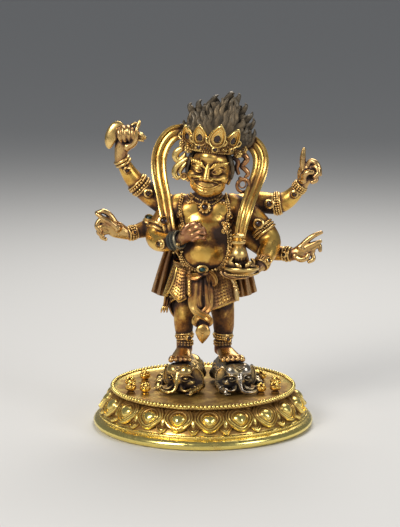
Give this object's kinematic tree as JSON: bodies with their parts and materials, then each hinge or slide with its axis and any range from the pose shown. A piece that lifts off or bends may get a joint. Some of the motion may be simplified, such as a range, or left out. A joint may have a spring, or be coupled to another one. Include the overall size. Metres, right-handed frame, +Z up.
{
  "type": "mahakala figure",
  "caption": "Gilt cast-bronze multi-armed protector deity with flaming hair, standing on elephant-headed figures over a round lotus base with small offering cups.",
  "frame": {"origin": "centre of the round base's flat underside, at the level it stands on", "axes": "+Z up; the figure faces -Y; +X is to the right seen from the front, the figure's own left"},
  "size_m": [0.1127, 0.11, 0.165],
  "materials": {
    "base_gilt": "bright fire gilding",
    "figure_gilt": "worn fire gilding with dark and copper patches",
    "elephant_bronze": "dark rubbed bronze with gilding left in the hollows",
    "cup_gilt": "bright fire gilding"
  },
  "bodies": {
    "root": {"lotus_base": "base_gilt", "elephant_right": "elephant_bronze", "elephant_left": "elephant_bronze", "figure": "figure_gilt", "offering_cup_1": "cup_gilt", "offering_cup_2": "cup_gilt", "offering_cup_3": "cup_gilt", "offering_cup_4": "cup_gilt", "offering_cup_5": "cup_gilt", "offering_cup_6": "cup_gilt", "offering_cup_7": "cup_gilt", "offering_cup_8": "cup_gilt"}
  },
  "joints": []
}
